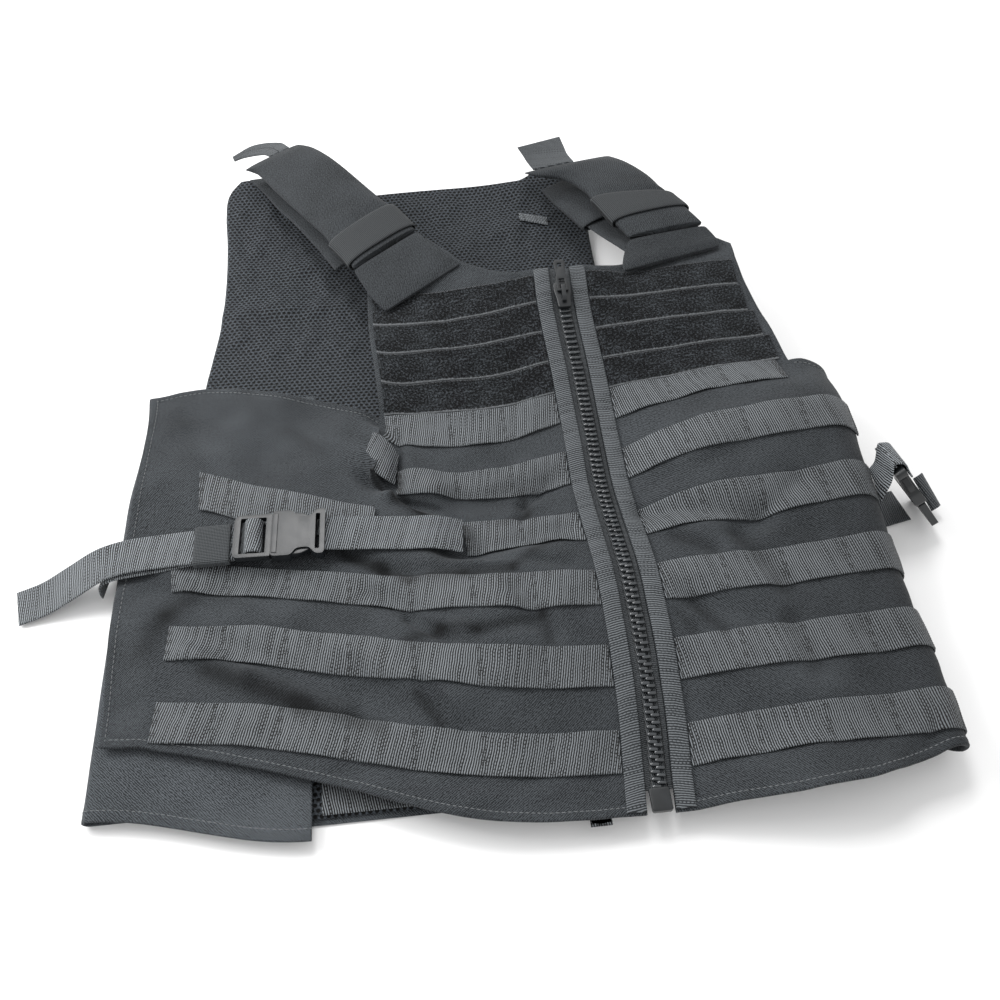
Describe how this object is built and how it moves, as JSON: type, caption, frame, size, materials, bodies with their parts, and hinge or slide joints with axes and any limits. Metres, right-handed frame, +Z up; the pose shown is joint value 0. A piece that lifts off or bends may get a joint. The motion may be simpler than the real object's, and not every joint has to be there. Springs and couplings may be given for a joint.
{
  "type": "tactical vest",
  "caption": "Zip-front tactical vest lying on its back, with webbing rows and loop bands on the front, padded shoulders and side straps with release buckles.",
  "frame": {"origin": "on the surface the vest lies on, below the middle of its outline", "axes": "+X to the image's right as the vest lies, +Y from the hem to the neck, +Z up out of the zipped front"},
  "size_m": [0.6119, 0.6192, 0.0673],
  "materials": {
    "cloth": "matt coarse woven nylon",
    "webbing": "ribbed woven webbing",
    "loop_tape": "fuzzy loop tape",
    "spacer_mesh": "knitted spacer mesh",
    "plastic": "satin moulded plastic",
    "elastic": "fine-ribbed elastic"
  },
  "bodies": {
    "vest": {"back_hem_webbing": "webbing", "back_shell": "cloth", "back_wing_left": "cloth", "back_wing_right": "cloth", "buckle_body_left": "plastic", "buckle_body_right": "plastic", "buckle_ladder_left": "plastic", "buckle_ladder_right": "plastic", "buckle_strap_left": "webbing", "buckle_strap_right": "webbing", "front_panel_left": "cloth", "front_panel_right": "cloth", "hang_loop": "webbing", "hem_tab": "webbing", "loop_band_left_1": "loop_tape", "loop_band_left_2": "loop_tape", "loop_band_left_3": "loop_tape", "loop_band_left_4": "loop_tape", "loop_band_right_1": "loop_tape", "loop_band_right_2": "loop_tape", "loop_band_right_3": "loop_tape", "loop_band_right_4": "loop_tape", "mesh_lining": "spacer_mesh", "pad_band_left": "elastic", "pad_band_right": "elastic", "shoulder_front_left": "cloth", "shoulder_front_right": "cloth", "shoulder_pad_left": "cloth", "shoulder_pad_right": "cloth", "shoulder_sleeve_right": "cloth", "shoulder_strap_left": "cloth", "shoulder_strap_right": "cloth", "side_strap_left": "webbing", "side_strap_right": "webbing", "side_tail_left": "webbing", "side_tail_right": "webbing", "strap_keeper_left": "elastic", "strap_tail_left": "webbing", "strap_tail_right": "webbing", "webbing_row_left_1": "webbing", "webbing_row_left_2": "webbing", "webbing_row_left_3": "webbing", "webbing_row_left_3_wing": "webbing", "webbing_row_left_4": "webbing", "webbing_row_left_5": "webbing", "webbing_row_left_6": "webbing", "webbing_row_right_1": "webbing", "webbing_row_right_2": "webbing", "webbing_row_right_3": "webbing", "webbing_row_right_4": "webbing", "webbing_row_right_5": "webbing", "webbing_row_right_6": "webbing", "zip_end_box": "plastic", "zip_slider": "plastic", "zip_tape_left": "webbing", "zip_tape_right": "webbing", "zip_teeth": "plastic", "zip_trim_left": "webbing", "zip_trim_right": "webbing"},
    "pull_tab": {"pull_tab": "plastic"}
  },
  "joints": [
    {"name": "pull_tab_hinge", "type": "hinge", "parent": "vest", "child": "pull_tab", "pos_m": [0.07272, 0.06841, 0.053], "axis": [0.9999, 0.012, 0.0037], "range_deg": [0, 155]}
  ]
}
